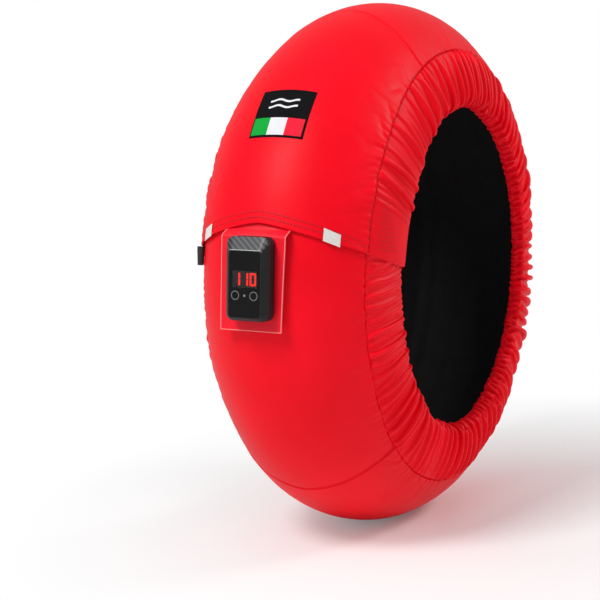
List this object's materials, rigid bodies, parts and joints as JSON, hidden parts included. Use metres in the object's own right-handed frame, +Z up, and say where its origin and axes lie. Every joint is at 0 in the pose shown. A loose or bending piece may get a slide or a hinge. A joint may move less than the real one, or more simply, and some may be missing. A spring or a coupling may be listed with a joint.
{
  "type": "motorcycle tire warmer",
  "caption": "Heated cloth cover for a rear motorcycle tyre: smooth tread band, gathered sides with elastic hems, overlapping flap and a controller on a hanging tab.",
  "frame": {"origin": "wheel's centre, on the axle line and midway across the tyre", "axes": "+Y along the wheel's axle, away from the side that the picture shows; -X towards the front, where the controller hangs; +Z up"},
  "size_m": [0.6926, 0.255, 0.662],
  "materials": {
    "coated_nylon": "satin coated weave, red",
    "tab_nylon": "coated weave with cut edges, red",
    "aramid_lining": "matt black weave",
    "wadding": "fluffy off-white felt",
    "heating_tape": "flat copper braid",
    "elastic": "black braided elastic",
    "fastening_tape": "black hook and loop",
    "case_plastic": "fine textured black moulding",
    "overlay": "gloss black printed film",
    "lens": "smoked clear window",
    "display": "lit red segments",
    "board": "green solder mask",
    "steel": "zinc plated",
    "rubber": "matt black",
    "woven_label": "black woven label with a green, white and red band",
    "white_tag": "white satin ribbon"
  },
  "bodies": {
    "root": {"flap_tread_panel": "coated_nylon", "main_tread_panel": "coated_nylon", "front_tread_panel": "coated_nylon", "flap_side_right": "coated_nylon", "main_side_right": "coated_nylon", "front_side_right": "coated_nylon", "flap_side_left": "coated_nylon", "main_side_left": "coated_nylon", "front_side_left": "coated_nylon", "insulation_wadding": "wadding", "inner_lining": "aramid_lining", "heating_element": "heating_tape", "temperature_probe": "steel", "hem_elastic_right": "elastic", "hem_elastic_left": "elastic", "loop_tape": "fastening_tape", "hook_tape": "fastening_tape", "woven_patch": "woven_label", "hem_tag_right": "white_tag", "hem_tag_left": "white_tag", "tab_back_leaf": "tab_nylon", "tab_front_leaf": "tab_nylon", "supply_lead": "rubber", "case_back": "case_plastic", "case_gasket": "rubber", "case_front": "case_plastic", "front_overlay": "overlay", "display_lens": "lens", "display_block": "display", "circuit_board": "board", "touch_spring_left": "steel", "touch_spring_right": "steel", "indicator_lamp": "display", "clamp_plate": "steel", "case_screw_1": "steel", "case_screw_2": "steel", "case_screw_3": "steel", "case_screw_4": "steel", "lead_boot": "rubber"}
  },
  "joints": []
}
